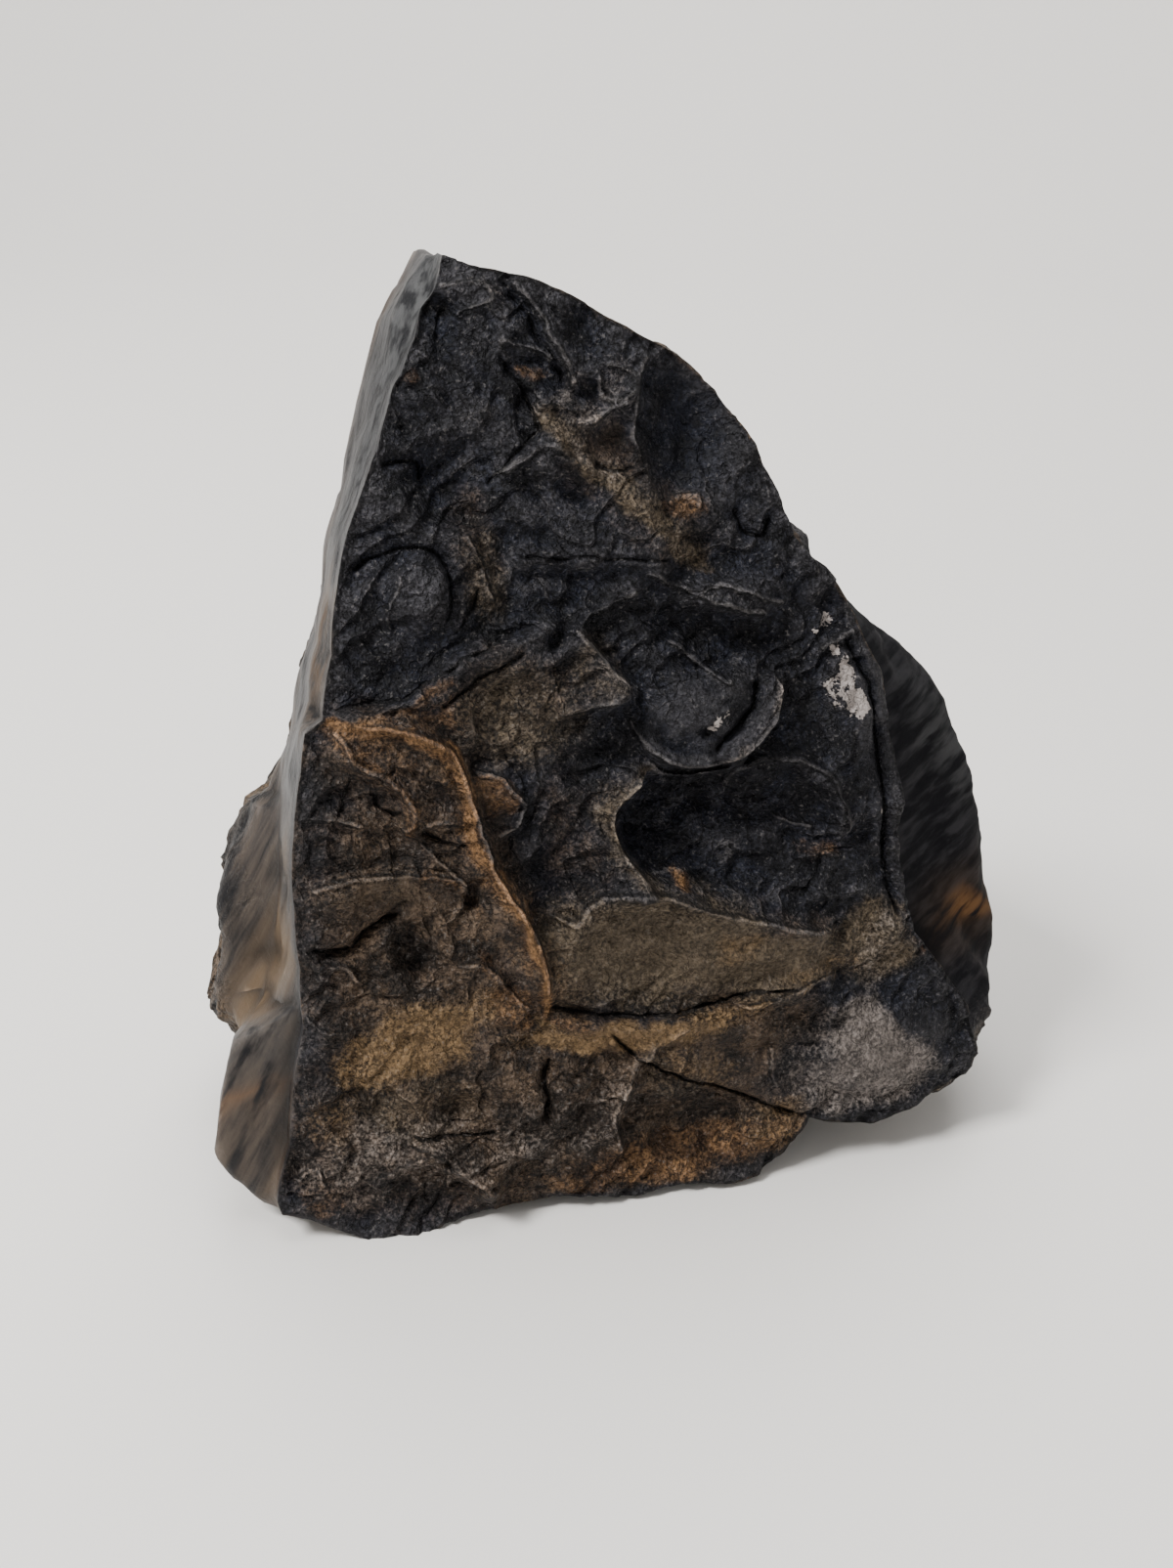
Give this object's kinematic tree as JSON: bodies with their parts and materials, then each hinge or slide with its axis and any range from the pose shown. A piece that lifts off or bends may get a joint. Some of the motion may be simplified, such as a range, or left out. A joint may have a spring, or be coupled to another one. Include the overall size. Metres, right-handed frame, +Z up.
{
  "type": "rough jet stone",
  "caption": "Rough lump of jet with a broken, ledged front face, a smooth steep side, a rounded bulge behind and a small flat spot underneath that it rests on.",
  "frame": {"origin": "bottom centre of the stone's bounding box, level with the flat spot it rests on", "axes": "+Z up towards the stone's tip, -Y towards the broken front face, +X to the right as seen from the front"},
  "size_m": [0.1478, 0.1084, 0.154],
  "materials": {
    "jet": "satin black with brown and ochre weathering"
  },
  "bodies": {
    "root": {"rough_jet": "jet"}
  },
  "joints": []
}
